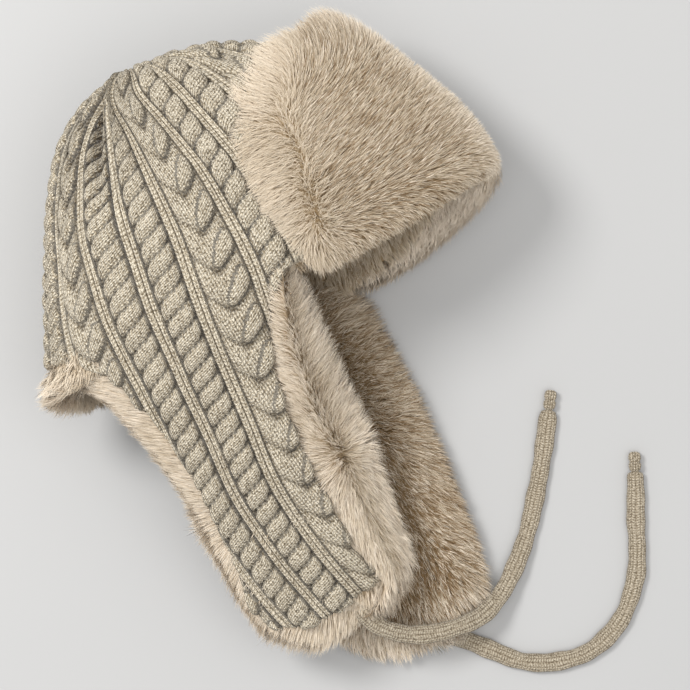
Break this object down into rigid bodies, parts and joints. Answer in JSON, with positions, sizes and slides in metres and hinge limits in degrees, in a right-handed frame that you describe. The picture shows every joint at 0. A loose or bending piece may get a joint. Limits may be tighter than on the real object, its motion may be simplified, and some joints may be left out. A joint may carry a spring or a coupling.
{
  "type": "plush hat",
  "caption": "Cable-knit trapper hat lying on its side, with a plush lining, a plush brim folded up at the front, ear flaps edged in fur, and flat knitted ties",
  "frame": {"origin": "on the table, under the middle of the crown", "axes": "+X the front of the hat, +Y the top of its crown, +Z its right side, which faces up as it lies"},
  "size_m": [0.2959, 0.4298, 0.1345],
  "materials": {
    "knit": "thick cable knit in a warm oatmeal yarn with light and dark flecks",
    "lining_fur": "dense plush pile, tan",
    "flap_fur": "deep plush pile, tan at the roots and pale cream at the tips",
    "brim_fur": "deep plush pile combed in streaks, golden tan with pale tips",
    "tie_knit": "flat tube of fine oatmeal knit"
  },
  "bodies": {
    "root": {"knit_shell": "knit", "crown_lining": "lining_fur", "right_flap_fur": "flap_fur", "left_flap_fur": "flap_fur", "brim": "brim_fur", "right_tie": "tie_knit", "right_tie_tip": "tie_knit", "left_tie": "tie_knit", "left_tie_tip": "tie_knit"}
  },
  "joints": []
}
